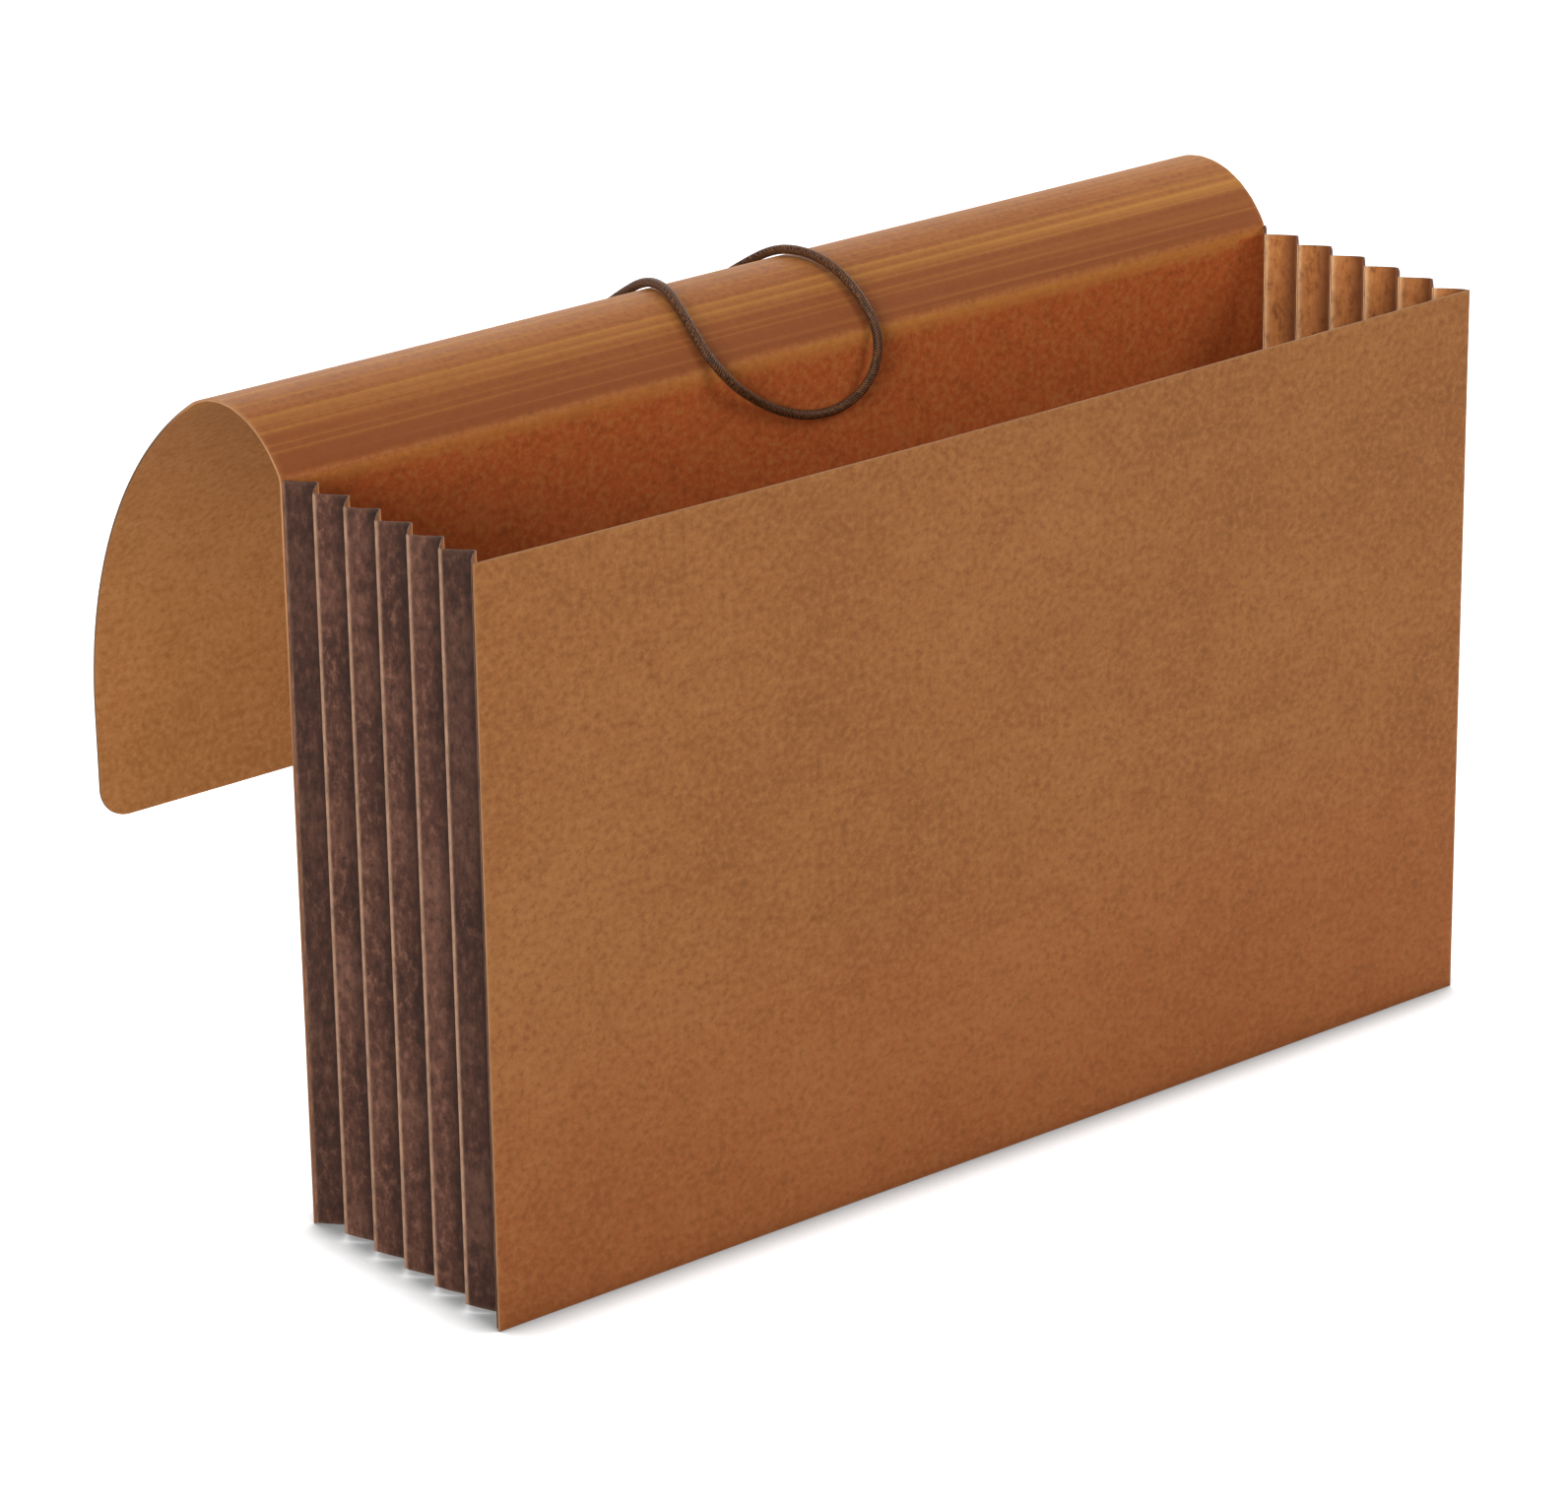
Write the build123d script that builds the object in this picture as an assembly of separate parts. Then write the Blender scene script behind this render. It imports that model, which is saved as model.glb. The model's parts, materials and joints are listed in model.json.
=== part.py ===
from build123d import *
import os
from math import cos, radians, sin, tan

# Expanding wallet with pleated gussets on three sides, a scored flap and an elastic cord.
# Millimetres. X runs along the width, Y from the front panel back to the flap, Z up.
# The origin is at the middle of the footprint, on the surface that the wallet stands on.

# Boards
wallet_width = 381.0
panel_height = 235.0
board_thickness = 0.8

# Gussets: each pleat is two panels, a ridge outside and a valley inside
pleat_count = 6
pleat_depth = 9.8
pleat_thickness = 0.5
pleat_angle = 42.0
ridge_inset = 0.6
fold_half_gap = 0.12
fold_spread_share = 0.95
floor_gap = 0.6
tab_width = 10.5
corner_gap = 1.2

# Flap, from the crease at the top of the back panel to its free edge
crease_angle = 30.0
curl_radius = 33.0
curl_angle = 93.0
curl_strip_count = 2
drape_radius = 135.0
drape_angle = 57.0
roof_length = 48.0
bend_length = 24.0
hem_length = 36.0
hem_corner_radius = 10.0
score_half_gap = 0.3

# Elastic cord, with its eyelets and end knots
cord_diameter = 3.0
eyelet_bore = 3.6
eyelet_barrel = 5.0
eyelet_flange = 8.4
eyelet_lip = 0.5
eyelet_slack = 0.1
eyelet_edge_distance = 24.0
eyelet_spacing = 38.0
eyelet_centre = -15.0
knot_diameter = 7.0
knot_sink_share = 0.42
knot_tail_length = 7.0
corner_run_share = 0.45

# Route of the cord, chosen point by point: out of one eyelet, over the curl, round and back
cord_route = [
    (-34.0, 99.5, 120.8),
    (-34.0, 104.6, 120.8),
    (-34.5, 107.0, 127.0),
    (-35.0, 107.0, 137.0),
    (-35.5, 103.0, 155.5),
    (-36.5, 96.5, 178.0),
    (-37.5, 86.5, 200.5),
    (-37.5, 73.5, 220.0),
    (-37.0, 58.5, 236.0),
    (-36.0, 44.5, 247.0),
    (-34.5, 30.5, 254.0),
    (-33.0, 16.0, 254.5),
    (-34.5, 2.5, 250.0),
    (-36.0, -9.0, 241.0),
    (-34.5, -12.0, 228.5),
    (-26.5, -10.5, 219.5),
    (-13.5, -10.0, 214.0),
    (1.5, -10.0, 210.5),
    (16.0, -10.0, 211.5),
    (26.5, -10.5, 220.0),
    (30.0, -12.0, 232.0),
    (28.5, -6.0, 244.5),
    (26.5, 6.0, 252.0),
    (24.5, 19.0, 255.0),
    (19.5, 32.0, 254.0),
    (11.5, 44.0, 248.0),
    (7.0, 57.5, 237.0),
    (5.0, 73.5, 220.0),
    (4.5, 86.5, 200.5),
    (4.5, 96.5, 178.0),
    (4.0, 103.0, 155.5),
    (4.0, 107.0, 137.0),
    (4.0, 107.0, 127.0),
    (4.0, 104.6, 120.8),
    (4.0, 99.5, 120.8),
]

# Pleat geometry: folds lie on the faces that close, so the panels can fold flat
fold = radians(pleat_angle)
half_pitch = pleat_depth * cos(fold) + pleat_thickness * sin(fold)
valley_depth = pleat_depth * sin(fold) - pleat_thickness * cos(fold)
panel_total = 2 * pleat_count
pocket_depth = 2 * pleat_thickness + panel_total * half_pitch
side_length = panel_height - floor_gap
corner_inset = ridge_inset + pleat_depth + pleat_thickness + corner_gap
bottom_length = wallet_width - 2 * corner_inset

# Flap geometry: turns are counted backwards from straight up
curl_start = radians(crease_angle)
curl_end = curl_start + radians(curl_angle)
drape_end = curl_end + radians(drape_angle)
drape_length = drape_radius * radians(drape_angle)
apron_length = drape_length - roof_length - bend_length
curl_reach = curl_radius * (cos(curl_start) - cos(curl_end))
drape_reach = drape_radius * (cos(curl_end) - cos(drape_end))

# Where the panels stand
overall_depth = board_thickness + pocket_depth + curl_reach + drape_reach
front_outer = -overall_depth / 2
front_inner = front_outer + board_thickness
back_inner = front_inner + pocket_depth
first_fold = back_inner - pleat_thickness

parts = {}


def board(back_face, height):
    """A flat board as wide as the wallet, standing on the floor in front of back_face."""
    sheet = Box(wallet_width, board_thickness, height, align=(Align.CENTER, Align.MAX, Align.MIN))
    return Pos(0, back_face, 0) * sheet


def make_panels():
    """The front panel, and the back panel up to the flap's crease."""
    parts["front_panel"] = board(front_inner, panel_height)
    parts["back_panel"] = board(back_inner + board_thickness, panel_height - score_half_gap)


def moved(point, along, distance):
    """The point that far along a direction, in two dimensions."""
    return (point[0] + along[0] * distance, point[1] + along[1] * distance)


def pleat_outline(index):
    """Corners of one pleat panel, seen along its folds: inwards first, then forwards."""
    goes_in = index % 2 == 0
    side = 1 if goes_in else -1
    along = (side * sin(fold), cos(fold))
    outwards = (-cos(fold), side * sin(fold))
    hinge = (0 if goes_in else valley_depth, index * half_pitch)
    near = moved(hinge, along, fold_half_gap)
    far = moved(hinge, along, pleat_depth - fold_half_gap)
    through = side * pleat_thickness
    return [near, far, moved(far, outwards, through), moved(near, outwards, through)]


def tab_outline(back_face):
    """Corners of a glue tab, from its fold inwards."""
    front_face = back_face + pleat_thickness
    return [
        (fold_half_gap, back_face),
        (tab_width, back_face),
        (tab_width, front_face),
        (fold_half_gap, front_face),
    ]


def prism(plane, outline, length):
    """An outline in the plane, drawn out along the plane's normal."""
    return extrude(plane * make_face(Polyline(*outline, close=True)), amount=length)


def make_gusset(name, plane, length):
    """One gusset: its two glue tabs and the pleat panels between them."""
    for index in range(panel_total):
        parts[f"{name}_pleat_{index + 1:02d}"] = prism(plane, pleat_outline(index), length)
    parts[f"{name}_tab_back"] = prism(plane, tab_outline(-pleat_thickness), length)
    parts[f"{name}_tab_front"] = prism(plane, tab_outline(panel_total * half_pitch), length)


def gusset_places():
    """Name, plane and length of each gusset: v runs forwards and u inwards from its ridge line."""
    side_ridge = wallet_width / 2 - ridge_inset
    left = Plane((-side_ridge, first_fold, panel_height), x_dir=(1, 0, 0), z_dir=(0, 0, -1))
    right = Plane((side_ridge, first_fold, floor_gap), x_dir=(-1, 0, 0), z_dir=(0, 0, 1))
    low_ridge = floor_gap + ridge_inset
    bottom = Plane((-bottom_length / 2, first_fold, low_ridge), x_dir=(0, 0, 1), z_dir=(1, 0, 0))
    sides = [("left", left, side_length), ("right", right, side_length)]
    return sides + [("bottom", bottom, bottom_length)]


def make_gussets():
    """The left, right and bottom gussets, folded alike about their own ridge lines."""
    for name, plane, length in gusset_places():
        make_gusset(name, plane, length)


def fold_face(index):
    """Section of one folded edge: a slice of a disc, in the notch outside two panels."""
    hinge = (0, 2 * index * half_pitch)
    spread = fold * fold_spread_share
    rim = [moved(hinge, (-cos(turn), sin(turn)), pleat_thickness) for turn in (-spread, 0, spread)]
    return make_face([Line(hinge, rim[0]), ThreePointArc(*rim), Line(rim[-1], hinge)])


def make_folds():
    """The folded outer edges between pleats: each runs down the left, along the bottom and up the right."""
    for index in range(1, pleat_count):
        edges = [extrude(plane * fold_face(index), amount=length) for _, plane, length in gusset_places()]
        parts[f"gusset_fold_{index:02d}"] = Compound(children=edges)


def arc_point(centre, radius, turn):
    """A point on an arc about centre, where the sheet has turned back by that much."""
    return (centre[0] - radius * cos(turn), centre[1] + radius * sin(turn))


def curved_strip(centre, radius, start, end):
    """A strip of the flap between two turns, its inner face on the outside of the bend."""
    gap = score_half_gap / radius
    turns = [start + gap, (start + end) / 2, end - gap]
    outer = [arc_point(centre, radius, turn) for turn in turns]
    inner = [arc_point(centre, radius - board_thickness, turn) for turn in turns]
    edges = [
        ThreePointArc(*outer),
        Line(outer[-1], inner[-1]),
        ThreePointArc(*inner),
        Line(inner[0], outer[0]),
    ]
    return extrude(Plane.YZ * make_face(edges), amount=wallet_width / 2, both=True)


def strip_sizes():
    """Name, length and radius of each curved strip, from the crease to the hem."""
    curl_strip_length = curl_radius * radians(curl_angle) / curl_strip_count
    numbers = range(1, curl_strip_count + 1)
    strips = [(f"flap_curl_{number:02d}", curl_strip_length, curl_radius) for number in numbers]
    strips.append(("flap_roof", roof_length, drape_radius))
    strips.append(("flap_bend", bend_length, drape_radius))
    strips.append(("flap_apron", apron_length, drape_radius))
    return strips


def make_flap():
    """The flap's curved strips. Returns the plane of the hem that hangs from the last one."""
    place = (back_inner, panel_height)
    turn = curl_start
    for name, length, radius in strip_sizes():
        centre = (place[0] + radius * cos(turn), place[1] - radius * sin(turn))
        end = turn + length / radius
        parts[name] = curved_strip(centre, radius, turn, end)
        place = arc_point(centre, radius, end)
        turn = end
    return Plane((0, *place), x_dir=(1, 0, 0), z_dir=(0, -cos(turn), sin(turn)))


def make_hem(plane):
    """The flap's last strip, with round corners and a hole for each eyelet."""
    length = hem_length - score_half_gap
    flat = Pos(0, score_half_gap + length / 2) * Rectangle(wallet_width, length)
    flat = fillet(flat.vertices().sort_by(Axis.Y)[-2:], hem_corner_radius)
    for place in eyelet_places():
        flat -= place * Circle((eyelet_barrel + eyelet_slack) / 2)
    parts["flap_hem"] = extrude(plane * flat, amount=-board_thickness)


def eyelet_places():
    """Where the two eyelets sit on the hem."""
    down = hem_length - eyelet_edge_distance
    return [Pos(eyelet_centre + side * eyelet_spacing / 2, down) for side in (-1, 1)]


def ring(diameter, low, high):
    """A round disc between two heights."""
    disc = Cylinder(diameter / 2, high - low, align=(Align.CENTER, Align.CENTER, Align.MIN))
    return Pos(0, 0, low) * disc


def make_eyelets(plane):
    """Two flanged eyelets set in the hem, and the knots that stop the cord behind them."""
    under = -board_thickness - eyelet_slack
    low = under - eyelet_lip
    high = eyelet_slack + eyelet_lip
    eyelet = ring(eyelet_barrel, low, high)
    eyelet += ring(eyelet_flange, eyelet_slack, high)
    eyelet += ring(eyelet_flange, low, under)
    eyelet -= ring(eyelet_bore, low, high)
    middle = low - knot_diameter * knot_sink_share
    knot = Pos(0, 0, middle) * Sphere(knot_diameter / 2)
    knot -= ring(2 * knot_diameter, low, low + knot_diameter)
    knot += ring(cord_diameter, middle - knot_tail_length, middle)
    places = [plane * place for place in eyelet_places()]
    parts["cord_eyelets"] = Compound(children=[place * eyelet for place in places])
    parts["cord_knots"] = Compound(children=[place * knot for place in places])


def corner_radii(points):
    """The largest arc that the two runs at each corner leave room for."""
    runs = [Vector(b) - Vector(a) for a, b in zip(points, points[1:])]
    radii = []
    for before, after in zip(runs, runs[1:]):
        shorter = min(before.length, after.length)
        half_turn = radians(before.get_angle(after)) / 2
        radii.append(corner_run_share * shorter / tan(half_turn))
    return radii


def make_cord():
    """The elastic cord, a round tube along its route."""
    radii = corner_radii(cord_route)
    path = FilletPolyline(*cord_route, radius=radii)
    section = Plane(path @ 0, z_dir=path % 0) * Circle(cord_diameter / 2)
    parts["elastic_cord"] = sweep(section, path=path)
    print("cord radii", [round(radius, 1) for radius in radii])
    print("cord length", round(path.length, 1))
    plain_volume = section.area * path.length
    print("cord volume over section times length", round(parts["elastic_cord"].volume / plain_volume, 5))


make_panels()
make_gussets()
make_folds()
hem_plane = make_flap()
make_hem(hem_plane)
make_eyelets(hem_plane)
make_cord()

os.makedirs("parts", exist_ok=True)
for node, shape in parts.items():
    export_step(shape, f"parts/{node}.step")
print(len(parts), "nodes,", "pocket", round(pocket_depth, 2), "deep, box", round(overall_depth, 2), "deep")
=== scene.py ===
"""Expanding document wallet: kraft boards, pleated gussets, a thrown-back flap and its elastic cord."""

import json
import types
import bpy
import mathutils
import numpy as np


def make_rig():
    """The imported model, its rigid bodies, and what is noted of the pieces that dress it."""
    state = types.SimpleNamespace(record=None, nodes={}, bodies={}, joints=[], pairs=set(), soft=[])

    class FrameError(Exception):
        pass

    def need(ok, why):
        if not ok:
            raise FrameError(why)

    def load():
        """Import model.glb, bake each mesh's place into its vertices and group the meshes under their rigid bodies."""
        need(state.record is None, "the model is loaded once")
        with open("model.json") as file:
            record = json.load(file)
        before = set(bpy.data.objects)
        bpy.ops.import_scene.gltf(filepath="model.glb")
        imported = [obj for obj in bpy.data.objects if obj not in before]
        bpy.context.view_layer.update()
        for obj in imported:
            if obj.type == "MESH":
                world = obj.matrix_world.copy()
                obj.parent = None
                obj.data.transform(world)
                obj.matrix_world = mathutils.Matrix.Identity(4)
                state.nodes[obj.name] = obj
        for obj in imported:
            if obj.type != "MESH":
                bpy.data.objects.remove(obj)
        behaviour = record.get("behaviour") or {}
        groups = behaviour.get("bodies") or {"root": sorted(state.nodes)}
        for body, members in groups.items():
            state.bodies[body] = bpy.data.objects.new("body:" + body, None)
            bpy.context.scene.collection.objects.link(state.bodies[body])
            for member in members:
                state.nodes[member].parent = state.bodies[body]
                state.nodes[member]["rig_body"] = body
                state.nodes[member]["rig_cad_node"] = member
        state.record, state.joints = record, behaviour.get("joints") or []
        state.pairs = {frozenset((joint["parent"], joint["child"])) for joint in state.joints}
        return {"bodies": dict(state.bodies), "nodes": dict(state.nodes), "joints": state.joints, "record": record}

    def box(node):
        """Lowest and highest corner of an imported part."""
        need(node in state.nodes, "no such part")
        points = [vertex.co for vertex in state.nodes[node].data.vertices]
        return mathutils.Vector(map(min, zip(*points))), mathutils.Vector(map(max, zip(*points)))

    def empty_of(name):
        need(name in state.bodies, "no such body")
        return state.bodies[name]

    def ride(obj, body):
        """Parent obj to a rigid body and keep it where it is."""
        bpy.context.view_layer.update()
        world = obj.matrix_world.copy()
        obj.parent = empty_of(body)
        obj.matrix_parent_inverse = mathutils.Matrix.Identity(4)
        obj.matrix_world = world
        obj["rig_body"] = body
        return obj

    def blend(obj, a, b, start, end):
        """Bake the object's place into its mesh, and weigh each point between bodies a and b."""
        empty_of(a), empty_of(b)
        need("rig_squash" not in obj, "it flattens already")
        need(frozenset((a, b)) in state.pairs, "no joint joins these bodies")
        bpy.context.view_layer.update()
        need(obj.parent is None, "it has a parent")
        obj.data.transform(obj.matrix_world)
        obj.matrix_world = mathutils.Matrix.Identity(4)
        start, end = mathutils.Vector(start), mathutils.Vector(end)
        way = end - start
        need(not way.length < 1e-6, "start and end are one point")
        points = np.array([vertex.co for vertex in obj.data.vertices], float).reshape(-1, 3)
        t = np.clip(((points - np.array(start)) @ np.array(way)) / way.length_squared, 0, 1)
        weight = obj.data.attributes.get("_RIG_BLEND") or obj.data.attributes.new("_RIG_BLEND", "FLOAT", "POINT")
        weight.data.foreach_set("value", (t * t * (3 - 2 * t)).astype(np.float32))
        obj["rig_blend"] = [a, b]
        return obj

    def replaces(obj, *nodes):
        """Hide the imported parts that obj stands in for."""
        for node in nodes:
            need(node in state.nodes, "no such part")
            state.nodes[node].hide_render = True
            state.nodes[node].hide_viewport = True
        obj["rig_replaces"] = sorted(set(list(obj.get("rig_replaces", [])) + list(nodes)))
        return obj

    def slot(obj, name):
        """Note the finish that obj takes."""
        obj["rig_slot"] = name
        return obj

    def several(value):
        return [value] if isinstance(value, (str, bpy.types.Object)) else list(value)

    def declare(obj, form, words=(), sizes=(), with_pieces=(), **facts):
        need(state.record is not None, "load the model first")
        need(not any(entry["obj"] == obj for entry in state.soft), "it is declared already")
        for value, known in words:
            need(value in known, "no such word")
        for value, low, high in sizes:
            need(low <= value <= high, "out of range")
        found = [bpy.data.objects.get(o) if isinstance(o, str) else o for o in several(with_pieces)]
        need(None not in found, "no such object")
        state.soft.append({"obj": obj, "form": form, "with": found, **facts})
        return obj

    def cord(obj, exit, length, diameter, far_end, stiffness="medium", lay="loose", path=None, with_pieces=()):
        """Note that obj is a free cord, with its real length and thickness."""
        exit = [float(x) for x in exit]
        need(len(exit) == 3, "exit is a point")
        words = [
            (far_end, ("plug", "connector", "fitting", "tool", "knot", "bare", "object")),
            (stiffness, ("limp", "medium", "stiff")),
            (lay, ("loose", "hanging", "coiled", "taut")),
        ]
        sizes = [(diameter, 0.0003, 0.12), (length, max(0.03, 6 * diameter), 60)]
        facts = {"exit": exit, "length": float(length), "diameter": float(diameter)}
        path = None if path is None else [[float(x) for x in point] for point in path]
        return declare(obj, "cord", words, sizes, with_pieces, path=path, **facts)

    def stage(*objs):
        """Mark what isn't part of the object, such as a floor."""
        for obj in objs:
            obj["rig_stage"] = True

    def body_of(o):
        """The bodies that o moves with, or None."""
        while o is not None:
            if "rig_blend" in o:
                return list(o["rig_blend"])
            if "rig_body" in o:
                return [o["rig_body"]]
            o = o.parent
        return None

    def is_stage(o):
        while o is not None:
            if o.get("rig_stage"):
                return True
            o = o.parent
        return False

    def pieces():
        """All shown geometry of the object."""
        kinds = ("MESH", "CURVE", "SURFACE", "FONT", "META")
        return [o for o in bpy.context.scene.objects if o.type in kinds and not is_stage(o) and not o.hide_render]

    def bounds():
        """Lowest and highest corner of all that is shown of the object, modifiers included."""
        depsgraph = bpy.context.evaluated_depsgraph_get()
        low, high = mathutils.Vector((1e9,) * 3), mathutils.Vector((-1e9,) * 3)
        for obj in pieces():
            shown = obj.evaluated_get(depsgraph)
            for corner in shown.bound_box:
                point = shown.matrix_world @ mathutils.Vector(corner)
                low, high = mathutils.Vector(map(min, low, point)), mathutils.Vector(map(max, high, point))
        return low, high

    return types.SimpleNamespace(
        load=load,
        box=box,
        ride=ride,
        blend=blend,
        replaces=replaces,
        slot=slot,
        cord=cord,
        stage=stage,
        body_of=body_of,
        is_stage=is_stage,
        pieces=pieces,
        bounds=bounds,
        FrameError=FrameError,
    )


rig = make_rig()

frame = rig.load()

import json
import logging
import math
from collections.abc import Iterable, Sequence
from dataclasses import dataclass, field
from enum import Enum
from functools import cached_property

import bmesh
import bpy
import numpy as np
from mathutils import Vector

CAD_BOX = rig.bounds()
SIZE_FILE = "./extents.json"
MM = 0.001
LOG = logging.getLogger("wallet")

BOARD_RIMS = (0.4 * MM, 1.0 * MM, 2.2 * MM, 5.0 * MM)
GUSSET_RIMS = (0.4 * MM, 1.2 * MM, 3.0 * MM)
EDGE_WEAR = 1.6 * MM
FRONT_PATTERN = 1.0
TUBE_CREASE = 60.0

Array = np.ndarray
Rgb = tuple[int, int, int]
Triple = tuple[float, float, float]
Range = tuple[float, float]
Faces = list[list[int]]
Values = dict[str, float | Array]
Material = bpy.types.Material
Node = bpy.types.Node
Piece = bpy.types.Object
Socket = bpy.types.NodeSocket
Inputs = dict[str | int, object]


class Slot(Enum):
    """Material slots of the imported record."""

    BOARD = "board"
    GUSSET = "gusset"
    ELASTIC = "elastic"
    EYELET = "eyelet"


class Wall(Enum):
    """The pocket's three pleated walls."""

    LEFT = "left"
    RIGHT = "right"
    BOTTOM = "bottom"


def linear(rgb: Rgb) -> tuple[float, float, float, float]:
    """Turn a display colour from 0 to 255 into Blender's linear colour with an alpha of 1."""
    parts = [c / 255.0 for c in rgb]
    return (*(c / 12.92 if c <= 0.04045 else ((c + 0.055) / 1.055) ** 2.4 for c in parts), 1.0)


def smooth(x: Array) -> Array:
    """Ease a share from 0 to 1 with level ends."""
    t = np.clip(x, 0.0, 1.0)
    return t * t * (3.0 - 2.0 * t)


def fade(s: Array, start: float, length: float) -> Array:
    """Rise from 0 to 1 over a length, from a start, both in millimetres."""
    return smooth((s - start * MM) / (length * MM))


def rub(distance: Array, reach: float) -> Array:
    """Give the wear near an edge, from 1 on it to 0 at its reach."""
    return np.clip(1.0 - distance / reach, 0.0, 1.0) ** 1.6


def grid(*parts: float | Array) -> Array:
    """Stack coordinates that spread over one grid."""
    return np.dstack(np.broadcast_arrays(*parts))


def unit(vectors: Array) -> Array:
    """Bring vectors to a length of 1."""
    return vectors / np.linalg.norm(vectors, axis=-1, keepdims=True)


def lengths_along(points: Array) -> Array:
    """Give each point's distance along its line from the first."""
    return np.concatenate([[0.0], np.cumsum(np.linalg.norm(np.diff(points, axis=0), axis=1))])


def graded(low: float, high: float, step: float, rims: Sequence[float]) -> Array:
    """Space lines across a sheet, closer together at its two edges.

    Args:
        low: The first edge.
        high: The second edge.
        step: The spacing away from the edges.
        rims: Distances from each edge that get a line of their own, rising.

    Returns:
        The lines' places, from low to high.
    """
    first, last = low + rims[-1], high - rims[-1]
    middle = np.linspace(first, last, max(2, round((last - first) / step) + 1))
    near = [low, *(low + r for r in rims[:-1])]
    far = [*(high - r for r in rims[-2::-1]), high]
    return np.concatenate([near, middle, far])


class Graph:
    """The nodes of a material or of the world, with short calls for those that the finishes share."""

    def __init__(self, owner: Material | bpy.types.World) -> None:
        """Switch on the owner's nodes."""
        owner.use_nodes = True
        self.owner, self.tree = owner, owner.node_tree

    def fill(self, node: Node, inputs: Inputs) -> Node:
        """Link or set a node's inputs.

        Args:
            node: The node.
            inputs: Sockets to link from or values to set, by the input's name or number.

        Returns:
            The same node.
        """
        for key, value in inputs.items():
            if isinstance(value, Socket):
                self.tree.links.new(value, node.inputs[key])
            else:
                node.inputs[key].default_value = value
        return node

    def add(self, kind: str, inputs: Inputs, **settings: object) -> Node:
        """Add a node.

        Args:
            kind: Blender's node type, less its first word, ShaderNode.
            inputs: What its inputs take.
            **settings: Attributes to set on it.

        Returns:
            The new node.
        """
        node = self.tree.nodes.new("ShaderNode" + kind)
        for key, value in settings.items():
            setattr(node, key, value)
        return self.fill(node, inputs)

    def attribute(self, name: str, output: str = "Fac") -> Socket:
        """Read a value that is stored on the mesh."""
        return self.add("Attribute", {}, attribute_name=name).outputs[output]

    def stretched(self, vector: Socket, scale: Triple) -> Socket:
        """Scale a coordinate by a factor on each axis."""
        return self.add("Mapping", {"Vector": vector, "Scale": scale}).outputs["Vector"]

    def noise(self, vector: Socket, scale: float, detail: float, rough: float = 0.5) -> Socket:
        """Make clouds from 0 to 1 at a scale per metre, with octaves of finer clouds and their weight."""
        inputs = {"Vector": vector, "Scale": scale, "Detail": detail, "Roughness": rough}
        return self.add("TexNoise", inputs).outputs["Fac"]

    def span(self, value: Socket, source: Range, target: Range) -> Socket:
        """Map a range of values onto another, with the ends held."""
        inputs = dict(enumerate((value, *source, *target)))
        return self.add("MapRange", inputs, clamp=True).outputs[0]

    def maths(self, operation: str, a: Socket, b: Socket) -> Socket:
        """Work out one value from two."""
        return self.add("Math", {0: a, 1: b}, operation=operation).outputs[0]

    def times(self, a: Socket, b: Socket) -> Socket:
        """Multiply two values."""
        return self.maths("MULTIPLY", a, b)

    def ramp(self, value: Socket, *stops: tuple[float, Rgb]) -> Socket:
        """Turn a value into a colour.

        Args:
            value: The value from 0 to 1.
            *stops: Places on the ramp with their colours.

        Returns:
            The colour.
        """
        node = self.add("ValToRGB", {"Fac": value})
        marks = node.color_ramp.elements
        while len(marks) < len(stops):
            marks.new(1.0)
        for mark, (place, rgb) in zip(marks, stops):
            mark.position = place
            mark.color = linear(rgb)
        return node.outputs["Color"]

    def mix(self, share: Socket, under: Socket, over: Rgb) -> Socket:
        """Lay a share of a plain colour over a varied one."""
        inputs = {0: share, 6: under, 7: linear(over)}
        return self.add("Mix", inputs, data_type="RGBA").outputs[2]

    def layers(self, tone: Socket, *rows: tuple[Socket, Range, float, Rgb]) -> Socket:
        """Lay colours over a tone where patterns run high or low.

        Args:
            tone: The colour below.
            *rows: A pattern, the range over which a colour comes in, its greatest share, and the colour.

        Returns:
            The mixed colour.
        """
        for pattern, source, share, rgb in rows:
            tone = self.mix(self.span(pattern, source, (0.0, share)), tone, rgb)
        return tone

    def bump(self, height: Socket, strength: float, depth: float, **under: Socket) -> Socket:
        """Add relief of a depth in metres, over the normal of coarser relief if there is any."""
        inputs = {"Height": height, "Strength": strength, "Distance": depth, **under}
        return self.add("Bump", inputs).outputs["Normal"]

    def shade(self, tone: Socket, rough: Socket, normal: Socket, gloss: float, metal: float = 0.0) -> None:
        """Wire the shader's colour, roughness and normal, and set its specular and metallic levels."""
        inputs = {"Base Color": tone, "Roughness": rough, "Normal": normal, "Specular IOR Level": gloss}
        self.fill(self.tree.nodes["Principled BSDF"], inputs | {"Metallic": metal})


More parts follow.
